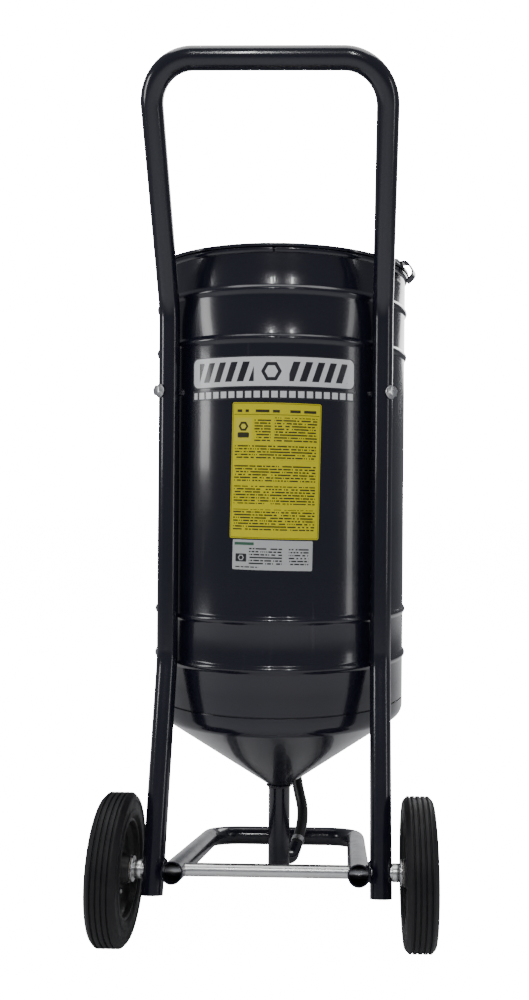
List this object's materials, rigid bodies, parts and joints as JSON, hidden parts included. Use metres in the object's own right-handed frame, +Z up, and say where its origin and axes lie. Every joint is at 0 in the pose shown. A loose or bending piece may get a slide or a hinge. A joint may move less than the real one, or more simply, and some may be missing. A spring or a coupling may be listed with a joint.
{
  "type": "abrasive blaster hopper trolley",
  "caption": "Drum hopper with conical outlet for abrasive blasting, on a bent-tube two-wheel trolley with lid, hose and blast gun.",
  "frame": {"origin": "middle of the machine's outline at floor level, hose left out", "axes": "+Z up, -Y towards the handle side, +X to the right seen from the handle"},
  "size_m": [0.482, 0.645, 1.263],
  "materials": {
    "navy_paint": "gloss navy-black powder coat",
    "hub_paint": "satin black paint",
    "bright_zinc": "bright zinc plate",
    "tread_rubber": "solid moulded rubber",
    "hose_rubber": "smooth extruded rubber",
    "bush_nylon": "natural nylon",
    "gun_casting": "die-cast, tumbled",
    "nozzle_ceramic": "fired ceramic",
    "fitting_brass": "turned brass"
  },
  "bodies": {
    "cart": {"axle_rod": "bright_zinc", "axle_spacers": "bright_zinc", "clean_out_cap": "navy_paint", "foot_tube": "navy_paint", "frame_bolt_nuts": "bright_zinc", "frame_bolt_washers": "bright_zinc", "frame_bolts": "bright_zinc", "frame_tube": "navy_paint", "gun_air_fitting": "fitting_brass", "gun_body": "gun_casting", "gun_hook": "navy_paint", "gun_hose_clamp": "bright_zinc", "gun_media_inlet": "bright_zinc", "gun_nozzle": "nozzle_ceramic", "gun_nozzle_nut": "bright_zinc", "gun_trigger_pin": "bright_zinc", "hook_bolts": "bright_zinc", "hook_spacers": "bright_zinc", "hose_hook": "navy_paint", "inner_washers": "bright_zinc", "media_hose": "hose_rubber", "outer_washers": "bright_zinc", "outlet_hose_clamp": "bright_zinc", "outlet_pipe": "navy_paint", "split_pins": "bright_zinc", "tank_cone": "navy_paint", "tank_shell": "navy_paint"},
    "wheel_left": {"wheel_left_tyre": "tread_rubber", "wheel_left_hub": "hub_paint", "wheel_left_bush": "bush_nylon"},
    "wheel_right": {"wheel_right_tyre": "tread_rubber", "wheel_right_hub": "hub_paint", "wheel_right_bush": "bush_nylon"},
    "lid": {"lid": "navy_paint", "lid_gasket": "hose_rubber", "lid_handle": "bright_zinc", "lid_handle_rivets": "bright_zinc", "latch_brackets": "bright_zinc", "latch_pins": "bright_zinc"},
    "latch_right": {"latch_right_claw": "navy_paint"},
    "latch_left": {"latch_left_claw": "navy_paint"},
    "gun_trigger": {"gun_trigger": "gun_casting"}
  },
  "joints": [
    {"name": "wheel_left_spin", "type": "hinge", "parent": "cart", "child": "wheel_left", "pos_m": [-0.219, -0.216, 0.1065], "axis": [1, 0, 0], "continuous": true},
    {"name": "wheel_right_spin", "type": "hinge", "parent": "cart", "child": "wheel_right", "pos_m": [0.219, -0.216, 0.1065], "axis": [1, 0, 0], "continuous": true},
    {"name": "lid_lift", "type": "slide", "parent": "cart", "child": "lid", "axis": [0, 0, 1], "range_m": [0, 0.15]},
    {"name": "latch_right_swing", "type": "hinge", "parent": "lid", "child": "latch_right", "pos_m": [0.19319, -0.01676, 1.0355], "axis": [-0.2588, -0.9659, 0], "range_deg": [0, 110]},
    {"name": "latch_left_swing", "type": "hinge", "parent": "lid", "child": "latch_left", "pos_m": [-0.19319, 0.08676, 1.0355], "axis": [0.2588, 0.9659, 0], "range_deg": [0, 110]},
    {"name": "trigger_pull", "type": "hinge", "parent": "cart", "child": "gun_trigger", "pos_m": [0.046, 0.301, 0.7485], "axis": [0, 1, 0], "range_deg": [0, 15]}
  ]
}
